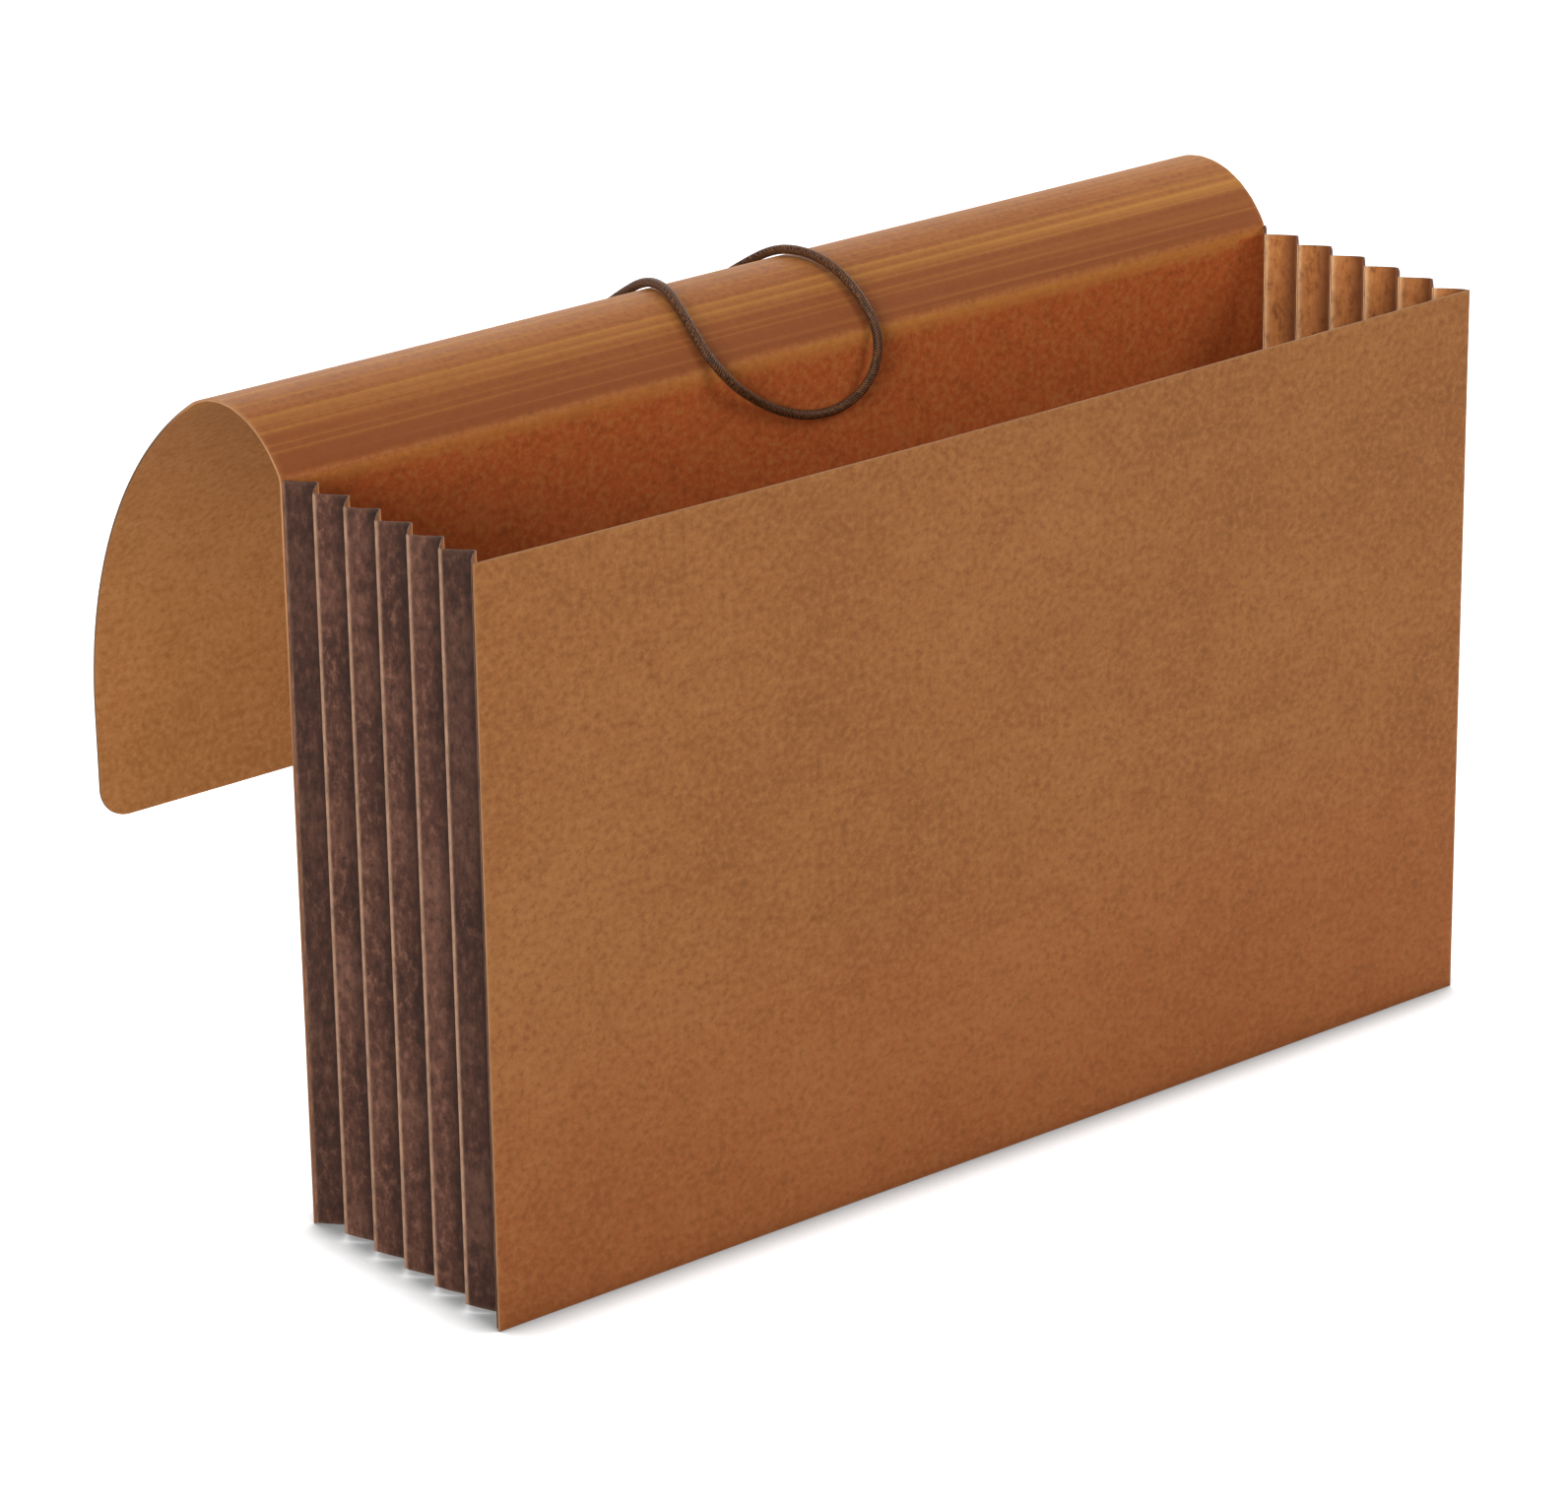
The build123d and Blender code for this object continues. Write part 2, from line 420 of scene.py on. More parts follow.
@dataclass(frozen=True)
class KraftFinish:
    """Pressed kraft board: cloudy brown with fine fibre flecks, streaked where scored, paler where rubbed, with
    painted shade above the crease and at the foot, and broad bands of painted highlight and shade over the curl.
    """

    name: str
    dark: Rgb
    base: Rgb
    light: Rgb
    rubbed: Rgb = (188, 138, 84)
    # Light colour of the score streaks, also laid on as painted highlight in broad bands over the curl.
    streak_and_highlight: Rgb = (192, 138, 66)
    # Redder inside tone of the pocket, also laid on as painted shade at the front board's foot.
    lining: Rgb = (164, 80, 38)
    # Dark colour of the score streaks, also laid on as painted shade above the crease and at the front board's foot.
    dark_streak_and_shade: Rgb = (116, 60, 29)
    gloss: float = 0.09

    @cached_property
    def material(self) -> Material:
        """The board's material, built from its colours."""
        g = Graph(bpy.data.materials.new(self.name))
        place = g.attribute("sheet", "Vector")
        cloud = g.noise(place, 9.0, 3.0, 0.55)
        patch = g.noise(place, 95.0, 4.0, 0.6)
        mottle = g.noise(place, 430.0, 5.0, 0.66)
        fibre = g.noise(g.stretched(place, (1.0, 2.4, 1.0)), 1500.0, 3.0, 0.6)
        bands = g.noise(g.stretched(place, (0.5, 88.0, 1.0)), 1.0, 2.0)
        lines = g.noise(g.stretched(place, (1.6, 430.0, 1.0)), 1.0, 2.0)
        tone = g.ramp(cloud, (0.0, self.dark), (0.50, self.base), (1.0, self.light))
        tone = g.layers(
            # The redder lining tone inside the pocket; where it is laid on the front board's foot it is painted shade.
            g.mix(g.attribute("deep"), tone, self.lining),
            (patch, (0.50, 0.72), 0.30, self.light),
            (patch, (0.48, 0.28), 0.34, self.dark),
            (mottle, (0.50, 0.66), 0.62, self.light),
            (mottle, (0.49, 0.33), 0.66, self.dark),
            (fibre, (0.60, 0.74), 0.22, self.rubbed),
            (fibre, (0.38, 0.26), 0.30, self.dark),
            # Painted shade: darker just above the crease and at the front board's foot.
            (g.attribute("burnish"), (0.0, 1.0), 0.80, self.dark_streak_and_shade),
        )
        scored = g.attribute("score")
        # Over the curl: fine score lines, and broad bands of painted highlight and shade.
        for grain, share in ((bands, 0.58), (lines, 0.28)):
            for source, rgb in (((0.52, 0.72), self.streak_and_highlight), ((0.48, 0.28), self.dark_streak_and_shade)):
                tone = g.mix(g.times(scored, g.span(grain, source, (0.0, share))), tone, rgb)
        patchy = g.span(mottle, (0.30, 0.62), (0.35, 1.0))
        tone = g.mix(g.times(g.attribute("wear"), patchy), tone, self.rubbed)
        rough = g.span(mottle, (0.3, 0.7), (0.54, 0.70))
        relief = g.bump(mottle, 0.16, 0.3 * MM)
        g.shade(tone, rough, g.bump(fibre, 0.20, 0.2 * MM, Normal=relief), self.gloss)
        return g.owner


@dataclass(frozen=True)
class GussetFinish:
    """Tough fibrous gusset stock, with painted shade in the valleys, rubbed pale on the ridges."""

    name: str
    dark: Rgb
    base: Rgb
    light: Rgb
    ridge: Rgb
    # The greatest share of painted shade in the valleys.
    valley: float
    gloss: float = 0.1

    @cached_property
    def material(self) -> Material:
        """The gusset's material, built from its colours."""
        g = Graph(bpy.data.materials.new(self.name))
        place = g.attribute("sheet", "Vector")
        cloud = g.noise(place, 26.0, 4.0, 0.6)
        grain = g.noise(g.stretched(place, (230.0, 420.0, 1.0)), 1.0, 6.0, 0.7)
        fleck = g.noise(g.stretched(place, (1.0, 2.6, 1.0)), 820.0, 4.0, 0.65)
        tone = g.layers(
            g.ramp(cloud, (0.05, self.dark), (0.50, self.base), (0.90, self.light)),
            (grain, (0.51, 0.66), 0.72, self.light),
            (grain, (0.49, 0.35), 0.64, self.dark),
            (fleck, (0.60, 0.74), 0.18, self.ridge),
            # Painted shade, darkest in the valleys.
            (g.attribute("deep"), (0.42, 0.90), self.valley, self.dark),
        )
        patchy = g.span(grain, (0.28, 0.60), (0.45, 1.0))
        tone = g.mix(g.times(g.attribute("wear"), patchy), tone, self.ridge)
        rough = g.span(grain, (0.3, 0.7), (0.58, 0.74))
        relief = g.bump(grain, 0.35, 0.4 * MM)
        g.shade(tone, rough, g.bump(fleck, 0.25, 0.2 * MM, Normal=relief), self.gloss)
        return g.owner


@dataclass(frozen=True)
class CutEdgeFinish:
    """The pale cut edge of a board, with its pressed layers showing as fine lines."""

    name: str
    core: Rgb
    layer: Rgb
    grime: Rgb
    gloss: float = 0.25

    @cached_property
    def material(self) -> Material:
        """The cut edge's material, built from its colours."""
        g = Graph(bpy.data.materials.new(self.name))
        place = g.attribute("sheet", "Vector")
        pressed = g.noise(g.stretched(place, (60.0, 60.0, 9.0)), 1.0, 4.0, 0.6)
        nicks = g.noise(place, 480.0, 4.0, 0.6)
        tone = g.ramp(pressed, (0.34, self.layer), (0.56, self.core))
        tone = g.layers(tone, (nicks, (0.52, 0.36), 0.55, self.layer))
        # Darker cut edge along the drape, towards the back board's foot and on the front board.
        tone = g.mix(g.attribute("grime"), tone, self.grime)
        rough = g.span(nicks, (0.3, 0.7), (0.66, 0.82))
        g.shade(tone, rough, g.bump(nicks, 0.3, 0.2 * MM), self.gloss)
        return g.owner


@dataclass(frozen=True)
class ElasticFinish:
    """Braided elastic: dark crossed strands with a dull sheen, painted shade in the grooves and a painted highlight on
    the strand crowns.
    """

    name: str
    dark: Rgb
    base: Rgb
    light: Rgb
    gloss: float = 0.12

    @cached_property
    def material(self) -> Material:
        """The elastic's material, built from its colours."""
        g = Graph(bpy.data.materials.new(self.name))
        place = g.attribute("sheet", "Vector")
        fuzz = g.noise(g.stretched(place, (900.0, 260.0, 260.0)), 1.0, 4.0, 0.6)
        tone = g.layers(
            # Painted shade in the braid's grooves and a painted highlight on its crowns.
            g.ramp(g.attribute("wear"), (0.10, self.dark), (0.55, self.base), (0.95, self.light)),
            (fuzz, (0.55, 0.72), 0.45, self.light),
            (fuzz, (0.45, 0.30), 0.50, self.dark),
        )
        rough = g.span(fuzz, (0.3, 0.7), (0.42, 0.60))
        g.shade(tone, rough, g.bump(fuzz, 0.3, 0.1 * MM), self.gloss)
        return g.owner


@dataclass(frozen=True)
class BrassFinish:
    """Stamped brass gone dull, with fine rubbing marks."""

    name: str
    dark: Rgb
    base: Rgb
    gloss: float = 0.5

    @cached_property
    def material(self) -> Material:
        """The brass, built from its colours."""
        g = Graph(bpy.data.materials.new(self.name))
        place = g.add("TexCoord", {}).outputs["Object"]
        tarnish = g.noise(place, 520.0, 5.0, 0.6)
        marks = g.noise(g.stretched(place, (2600.0, 500.0, 500.0)), 1.0, 3.0)
        tone = g.ramp(tarnish, (0.34, self.dark), (0.60, self.base))
        rough = g.span(marks, (0.3, 0.7), (0.24, 0.42))
        g.shade(tone, rough, g.bump(marks, 0.12, 0.1 * MM), self.gloss, metal=1.0)
        return g.owner


class Palette:
    """Every finish of the wallet, built once."""

    def __init__(self) -> None:
        """Mix the wallet's colours and build the materials."""
        self.board = KraftFinish("kraft_board", (113, 69, 36), (140, 89, 49), (157, 107, 64)).material
        self.inside = KraftFinish("kraft_inside", (116, 67, 31), (147, 92, 46), (162, 109, 58)).material
        # A lighter copy of the board's kraft, painted light for the flap's shaded hanging face.
        self.flap = KraftFinish("kraft_flap", (146, 92, 49), (175, 118, 68), (188, 134, 84)).material
        self.edge = CutEdgeFinish("board_cut_edge", (172, 127, 87), (132, 91, 58), (92, 62, 40)).material
        self.gusset = GussetFinish(
            "gusset_outside", (26, 15, 11), (74, 46, 36), (114, 79, 64), (150, 117, 95), valley=0.8
        ).material
        self.lining = GussetFinish(
            "gusset_lining", (92, 48, 22), (174, 110, 59), (190, 130, 76), (236, 188, 138), valley=0.85
        ).material
        self.elastic = ElasticFinish("braided_elastic", (16, 9, 5), (48, 27, 15), (108, 70, 42)).material
        self.brass = BrassFinish("dull_brass", (120, 88, 44), (190, 152, 88)).material


def quads(rows: int, columns: int, base: int = 0, closed: bool = False, looped: bool = False) -> Faces:
    """List the four-sided faces of a grid of vertices.

    Args:
        rows: Rows of vertices.
        columns: Vertices in a row.
        base: The first vertex's number.
        closed: Whether each row joins up into a ring.
        looped: Whether the last row joins the first.

    Returns:
        The faces' vertex numbers.
    """
    numbers = base + np.arange(rows * columns).reshape(rows, columns)
    numbers = np.pad(numbers, ((0, int(looped)), (0, int(closed))), mode="wrap")
    corners = (numbers[:-1, :-1], numbers[1:, :-1], numbers[1:, 1:], numbers[:-1, 1:])
    return np.stack(corners, axis=-1).reshape(-1, 4).tolist()


def capped(rows: int, ring: int, base: int = 0) -> Faces:
    """List the faces of a tube of rings with both its ends closed."""
    ends = (range(base, base + ring), range(base + (rows - 1) * ring, base + rows * ring))
    return quads(rows, ring, base, closed=True) + [list(end) for end in ends]


def new_mesh(
    name: str,
    points: Array,
    faces: Faces,
    materials: Sequence[Material],
    kinds: Sequence[int] = (),
    crease: float = 38.0,
) -> Piece:
    """Make a smooth-shaded mesh object with its faces turned outwards.

    Args:
        name: The piece's name.
        points: The vertices.
        faces: The faces' vertex numbers.
        materials: The materials.
        kinds: The material number of each face, if there is more than one material.
        crease: The angle in degrees above which an edge stays sharp.

    Returns:
        The new object, in the scene.
    """
    mesh = bpy.data.meshes.new(name)
    mesh.from_pydata(points.tolist(), [], faces)
    for material in materials:
        mesh.materials.append(material)
    if kinds:
        mesh.polygons.foreach_set("material_index", np.array(kinds, dtype=np.int32))
    mesh.polygons.foreach_set("use_smooth", np.ones(len(faces), dtype=bool))
    work = bmesh.new()
    work.from_mesh(mesh)
    bmesh.ops.recalc_face_normals(work, faces=work.faces)
    work.to_mesh(mesh)
    work.free()
    mesh.set_sharp_from_angle(angle=math.radians(crease))
    piece = bpy.data.objects.new(name, mesh)
    bpy.context.scene.collection.objects.link(piece)
    return piece


def store(piece: Piece, name: str, values: Array) -> None:
    """Store a number or a vector per vertex for the materials to read."""
    kind, key = ("FLOAT", "value") if values.ndim == 1 else ("FLOAT_VECTOR", "vector")
    piece.data.attributes.new(name, kind, "POINT").data.foreach_set(key, values.astype(np.float32).ravel())


def seat(piece: Piece, slot: Slot, body: str, *nodes: str) -> Piece:
    """Let a piece ride on a body, stand for its solids and take a slot's finish.

    Args:
        piece: The piece.
        slot: The material slot.
        body: The body that carries it.
        *nodes: The solids that it stands for.

    Returns:
        The same piece.
    """
    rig.ride(piece, body)
    if nodes:
        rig.replaces(piece, *nodes)
    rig.slot(piece, slot.value)
    return piece


@dataclass
class Sheet:
    """A thin closed sheet between two faces given as grids of points, with values spread over them."""

    name: str
    face: Array
    back: Array
    place: Array
    values: Values
    back_values: Values = field(default_factory=dict)
    bulge: float = 0.2
    lined: int = -1

    @property
    def rim(self) -> Array:
        """The numbers of the grid's places round the sheet's edge, in order."""
        n = np.arange(self.face[:, :, 0].size).reshape(self.face.shape[:2])
        return np.concatenate([n[0, :-1], n[:-1, -1], n[-1, :0:-1], n[:0:-1, 0]])

    @property
    def outward(self) -> Array:
        """Unit vectors away from the sheet, one for each place round its rim."""
        way = np.zeros_like(self.face)
        for turned, face in ((way, self.face), (way.swapaxes(0, 1), self.face.swapaxes(0, 1))):
            turned[0] += unit(face[0] - face[1])
            turned[-1] += unit(face[-1] - face[-2])
        return unit(way.reshape(-1, 3)[self.rim])

    def build(self, materials: Sequence[Material]) -> Piece:
        """Make the sheet's mesh.

        Args:
            materials: The finishes of the face, the back and the edge.

        Returns:
            The new object, in the scene.
        """
        shape = self.face.shape[:2]
        face, back, place = (part.reshape(-1, part.shape[2]) for part in (self.face, self.back, self.place))
        count, rim = len(face), self.rim
        lined = rim % shape[1] == self.lined
        ridge = (face[rim] + back[rim]) / 2.0 + self.outward * np.linalg.norm(face[0] - back[0]) * self.bulge
        middle = 2 * count + np.arange(len(rim))
        next_rim, next_middle = np.roll(rim, -1), np.roll(middle, -1)
        faces = quads(*shape) + quads(*shape, base=count)
        kinds = np.repeat([0, 1, 2], [len(faces) // 2, len(faces) // 2, len(rim)]).tolist()
        faces += np.column_stack([rim, next_rim, next_middle, middle]).tolist()
        faces += np.column_stack([middle, next_middle, count + next_rim, count + rim]).tolist()
        kinds += np.where(lined & np.roll(lined, -1), 1, 2).tolist()
        piece = new_mesh(self.name, np.concatenate([face, back, ridge]), faces, materials, kinds)
        layers = np.repeat([0.0, 0.4, 0.2], [count, count, len(rim)])
        store(piece, "sheet", np.column_stack([np.concatenate([place, place, place[rim]]), layers]))
        for name, value in self.values.items():
            pair = (value, self.back_values.get(name, value))
            near, far = (np.broadcast_to(side, shape).ravel() for side in pair)
            store(piece, name, np.concatenate([near, far, np.where(lined, far[rim], near[rim])]))
        return piece


@dataclass
class FlapCurve:
    """The back board's line from its foot over the curl and down the drape, seen from the side."""

    crease_y: float
    crease_z: float
    below: float
    crease_turn: float = math.radians(30.0)
    crease_round: float = 2.2 * MM
    curl_radius: float = 33.0 * MM
    curl_turn: float = math.radians(93.0)
    drape_radius: float = 135.0 * MM
    drape_turn: float = math.radians(57.0)
    hem: float = 36.0 * MM
    facets: int = 8
    facet_share: float = 0.55
    facet_round: float = 0.4
    step: float = 0.1 * MM
    arc: Array = field(init=False)
    line: Array = field(init=False)
    turns: Array = field(init=False)

    def __post_init__(self) -> None:
        """Trace the line from its turning."""
        self.arc = np.arange(-self.below, self.length + self.step / 2, self.step)
        middle = self.turn(self.arc[:-1] + self.step / 2)
        moves = np.column_stack([np.sin(middle), np.cos(middle)]) * self.step
        self.line = np.concatenate([[[0.0, 0.0]], np.cumsum(moves, axis=0)])
        self.line += np.array([self.crease_y, self.crease_z - self.below])
        self.turns = self.turn(self.arc)

    @property
    def curl_end(self) -> float:
        """The curl's length along the sheet."""
        return self.curl_radius * self.curl_turn

    @property
    def drape_end(self) -> float:
        """Where the straight hem starts."""
        return self.curl_end + self.drape_radius * self.drape_turn

    @property
    def length(self) -> float:
        """The flap's length from the crease to its free edge."""
        return self.drape_end + self.hem

    def turn(self, s: Array) -> Array:
        """Give the sheet's lean from upright along its length.

        Args:
            s: Distances from the crease.

        Returns:
            The lean in radians.
        """
        crease = self.crease_turn * smooth(s / self.crease_round / 2.0 + 0.5)
        share = np.clip(s / self.curl_end, 0.0, 1.0) * self.facets
        stair = np.floor(share) + smooth((share - np.floor(share) - 0.5) / self.facet_round + 0.5)
        eased = (self.facet_share * stair + (1.0 - self.facet_share) * share) / self.facets
        drape = np.clip((s - self.curl_end) / (self.drape_end - self.curl_end), 0.0, 1.0)
        return crease + self.curl_turn * eased + self.drape_turn * drape

    def at(self, s: Array, offset: float = 0.0) -> Array:
        """Give y and z at distances from the crease, at an offset from the inside face outwards."""
        y, z, lean = (np.interp(s, self.arc, values) for values in (*self.line.T, self.turns))
        return np.column_stack([y + offset * np.cos(lean), z - offset * np.sin(lean)])

    def arc_of(self, points: Array) -> Array:
        """Find how far from the crease along the sheet points of y and z are."""
        return self.arc[[int(np.argmin(np.sum((self.line - p) ** 2, axis=1))) for p in points]]


@dataclass(frozen=True)
class Score:
    """A fold across the flap, and how far its bend spreads each way."""

    before: str
    after: str
    place: float
    spread: float


@dataclass
class BackBoard:
    """The back board and the flap, one sheet scored across the flap."""

    palette: Palette
    width: float = 381.0 * MM
    thickness: float = 0.8 * MM
    corner: float = 10.0 * MM
    strips: tuple[tuple[str, float], ...] = (
        ("flap_curl_01", 26.7817 * MM),
        ("flap_curl_02", 26.7817 * MM),
        ("flap_roof", 48.0 * MM),
        ("flap_bend", 24.0 * MM),
        ("flap_apron", 62.3031 * MM),
        ("flap_hem", 36.0 * MM),
    )
    reach: float = 0.495
    ripple: float = 0.25 * MM
    across_step: float = 7.5 * MM
    flat_step: float = 9.0 * MM
    crease_step: float = 0.55 * MM
    curl_step: float = 0.8 * MM
    drape_step: float = 2.0 * MM
    flat_end: float = -6.0 * MM

    @cached_property
    def curve(self) -> FlapCurve:
        """The sheet's line, with its crease at the back panel's top inside edge."""
        low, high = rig.box("back_panel")
        return FlapCurve(low.y, high.z, below=high.z - low.z - 0.2 * self.thickness)

    @cached_property
    def scores(self) -> list[Score]:
        """The folds from the crease to the hem."""
        found = []
        place, before, last = 0.0, "back", math.inf
        for name, length in self.strips:
            found.append(Score(before, name, place, self.reach * min(last, length)))
            place, before, last = place + length, name, length
        return found

    @property
    def middles(self) -> list[float]:
        """The strips' middles along the sheet."""
        return [score.place + length / 2.0 for score, (_, length) in zip(self.scores, self.strips)]

    def bend(self, piece: Piece, score: Score) -> None:
        """Bend a piece with the sheet at one of its folds."""
        (y0, z0), (y1, z1) = self.curve.at(score.place + score.spread * np.array([-1.0, 1.0]))
        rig.blend(piece, score.before, score.after, start=(0.0, y0, z0), end=(0.0, y1, z1))

    def half_width(self, s: Array) -> Array:
        """Give half the sheet's width at distances from the crease, rounded off at the free corners."""
        short = np.clip(self.corner - self.curve.length + s, 0.0, self.corner)
        return self.width / 2.0 - self.corner + np.sqrt(self.corner**2 - short**2)

    def rows(self, low: float, high: float) -> Array:
        """Space lines across a stretch of the sheet, closer at the foot, the crease and the free edge.

        Args:
            low: The stretch's start.
            high: The stretch's end.

        Returns:
            Distances from the crease.
        """
        if low < 0.0:
            flat = graded(low, self.flat_end, self.flat_step, BOARD_RIMS)
            bent = np.arange(self.flat_end, high - 0.4 * MM, self.crease_step)
            return np.concatenate([flat[:-1], bent, [high]])
        if high < self.curve.length - self.corner:
            step = self.curl_step if low < self.curve.curl_end else self.drape_step
            return np.linspace(low, high, round((high - low) / step) + 1)
        corner = high - self.corner * (1.0 - np.sin(np.linspace(0.0, math.pi / 2.0, 12)))
        return np.concatenate([self.rows(low, high - self.corner)[:-1], corner])

    def sheet(self, name: str, s: Array) -> Sheet:
        """Lay out a stretch of the sheet.

        Args:
            name: The piece's name.
            s: Lines across it, as distances from the crease.

        Returns:
            The stretch.
        """
        half = self.width / 2.0
        down = s[:, None]
        reach = self.half_width(down) / half
        across = graded(-half, half, self.across_step, BOARD_RIMS) * reach
        ripple = self.ripple * np.sin(across * 21.0 + 1.3) * fade(down, 0.0, 60.0)

        def swept(line: Array) -> Array:
            """Sweep a line of y and z across the width."""
            return grid(across, line[:, :1] + ripple, line[:, 1:])

        ends = np.minimum(np.abs(down + self.curve.below), np.abs(self.curve.length - down))
        edges = np.minimum(half * reach - np.abs(across), ends)
        values = {
            "wear": 0.30 * np.maximum(rub(edges, EDGE_WEAR), rub(np.abs(down), 1.8 * MM)),
            # The curl, where score lines and bands of painted highlight and shade go.
            "score": fade(down, -7.0, 6.0) * (1.0 - fade(down, 44.0, 26.0)),
            # Below the crease the pocket's inside takes the redder lining tone.
            "deep": 1.0 - fade(down, -3.0, 8.0),
            "grime": fade(down, 45.0, 30.0) + 0.85 * fade(-down, 10.0, 110.0),
            # Painted shade on the curl just above the crease.
            "burnish": fade(down, -2.0, 5.0) * (1.0 - fade(down, 6.0, 34.0)),
        }
        inner, outer = swept(self.curve.at(s)), swept(self.curve.at(s, self.thickness))
        return Sheet(name, inner, outer, grid(across, down), values, {"deep": 0.0})

    def build(self) -> list[Piece]:
        """Make the board from its foot to the free edge.

        Returns:
            The pieces, in order.
        """
        pieces = []
        scores = self.scores
        cuts = [-self.curve.below, *self.middles[:-1], self.curve.length]
        stands_for = [("back_panel",), *((name,) for name, _ in self.strips[:-2]), ("flap_apron", "flap_hem")]
        names = ["back_board", *(f"flap_sheet_{n:02d}" for n in range(1, len(scores)))]
        for score, name, low, high, nodes in zip(scores, names, cuts, cuts[1:], stands_for):
            # The flap's outside takes the lighter copy of the board, painted light.
            outside = self.palette.flap if low > 0.0 else self.palette.board
            sheet = self.sheet(name, self.rows(low, high))
            piece = sheet.build((self.palette.inside, outside, self.palette.edge))
            self.bend(piece, score)
            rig.replaces(piece, *nodes)
            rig.slot(piece, Slot.BOARD.value)
            pieces.append(piece)
        return pieces


@dataclass
class FrontBoard:
    """The front board, bowed a little at its open top edge."""

    palette: Palette
    bow: float = 3.4 * MM
    ripple: float = 0.2 * MM
    step: float = 8.0 * MM

    def build(self) -> Piece:
        """Make the board.

        Returns:
            The piece.
        """
        low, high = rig.box("front_panel")
        x = graded(low.x, high.x, self.step, BOARD_RIMS)
        z = graded(low.z + 0.2 * (high.y - low.y), high.z, self.step, BOARD_RIMS)
        across, up = np.meshgrid(x, z)
        span = 1.0 - (across / high.x) ** 2
        bow = self.bow * ((up - low.z) / (high.z - low.z)) ** 2.2
        out = span * (bow + self.ripple * np.sin(across * 17.0 + up * 9.0))
        side = np.minimum(across - low.x, high.x - across)
        ends = np.minimum(up - low.z, high.z - up)
        # Painted shade: the board turns darker and redder towards its foot, with a painted shadow line along the
        # bottom edge.
        foot = 1.0 - fade(up - low.z, 0.0, 120.0)
        values = {
            "wear": 0.14 * rub(np.minimum(side, ends), EDGE_WEAR),
            "score": 0.0,
            "deep": 0.30 * foot,
            "grime": 0.45,
            "burnish": 0.34 * foot + 0.5 * (1.0 - fade(up - low.z, 0.0, 3.5)),
        }
        face, back = grid(across, low.y - out, up), grid(across, high.y - out, up)
        sheet = Sheet("front_board", face, back, grid(across, up + FRONT_PATTERN), values, {"deep": 1.0})
        piece = sheet.build((self.palette.board, self.palette.inside, self.palette.edge))
        return seat(piece, Slot.BOARD, "front", "front_panel")


